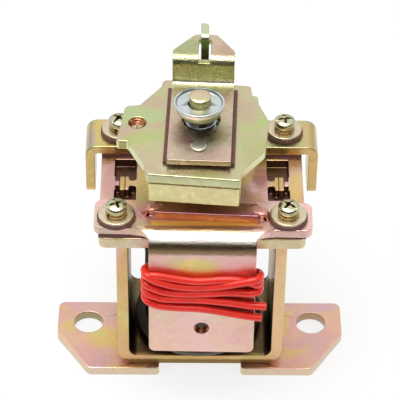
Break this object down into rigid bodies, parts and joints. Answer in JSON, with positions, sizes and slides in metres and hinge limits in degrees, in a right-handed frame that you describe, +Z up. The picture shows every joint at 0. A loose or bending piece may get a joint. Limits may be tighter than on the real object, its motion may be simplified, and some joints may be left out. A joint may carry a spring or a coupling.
{
  "type": "starter relay",
  "caption": "Open electromagnetic relay: a coil in a U-shaped yoke pulls a sprung bridge down onto two copper contact bars between flat terminals.",
  "frame": {"origin": "midway between the two mounting holes, on the underside of the feet", "axes": "+X to the right, -Y to the front with the coil's terminal tab, +Z up along the plunger"},
  "size_m": [0.102, 0.0756, 0.1121],
  "materials": {
    "plated_steel": "yellow passivated zinc, satin",
    "bare_steel": "ground",
    "screw_steel": "zinc plated, satin",
    "copper": "rolled copper, slightly tarnished",
    "brass_sleeve": "drawn",
    "fibre": "pressed fibre board",
    "bobbin_plastic": "moulded, dull",
    "black_tape": "varnished tape",
    "red_lead": "glossy insulation",
    "spring_steel": "drawn wire",
    "blue_steel": "zinc plated, bluish"
  },
  "bodies": {
    "frame": {"left_foot": "plated_steel", "right_foot": "plated_steel", "yoke": "plated_steel", "top_plate": "plated_steel", "core": "bare_steel", "guide_sleeve": "brass_sleeve", "coil_seat_washer": "fibre", "bobbin": "bobbin_plastic", "coil_winding": "black_tape", "return_spring": "spring_steel", "stop_ring": "plated_steel", "front_insulator": "fibre", "rear_insulator": "fibre", "front_terminal": "plated_steel", "front_contact": "copper", "rear_terminal": "plated_steel", "rear_contact": "copper", "screw_bushes": "fibre", "fibre_washers": "fibre", "flat_washers": "screw_steel", "spring_washers": "bare_steel", "terminal_screws": "screw_steel", "lead_1": "red_lead", "lead_2": "red_lead", "guide_strip": "plated_steel", "guide_strip_rivets": "screw_steel"},
    "plunger": {"plunger": "plated_steel", "plunger_collar": "plated_steel", "stud": "plated_steel", "spring_cup": "blue_steel", "contact_spring": "spring_steel"},
    "seat": {"bridge_bush": "fibre", "spring_seat": "spring_steel"},
    "bridge": {"bridge_plate": "plated_steel", "front_block": "plated_steel", "rear_block": "plated_steel", "bridge_fibre_sheet": "fibre", "guide_bracket": "plated_steel", "guide_bracket_rivet": "screw_steel"}
  },
  "joints": [
    {"name": "plunger_slide", "type": "slide", "parent": "frame", "child": "plunger", "axis": [0, 0, 1], "range_m": [-0.0061, 0], "stiffness_N_per_m": 1000, "springref_m": 0.009, "deforming": ["return_spring"]},
    {"name": "overtravel_slide", "type": "slide", "parent": "plunger", "child": "seat", "axis": [0, 0, 1], "range_m": [0, 0.00153], "deforming": ["contact_spring"]},
    {"name": "bridge_swivel", "type": "hinge", "parent": "seat", "child": "bridge", "pos_m": [-0.0006, -0.001, 0.0938], "axis": [0, 0, 1], "range_deg": [-1, 1]}
  ],
  "couplings": [
    {"joint": "overtravel_slide", "follows": "plunger_slide", "ratio": -0.25}
  ]
}
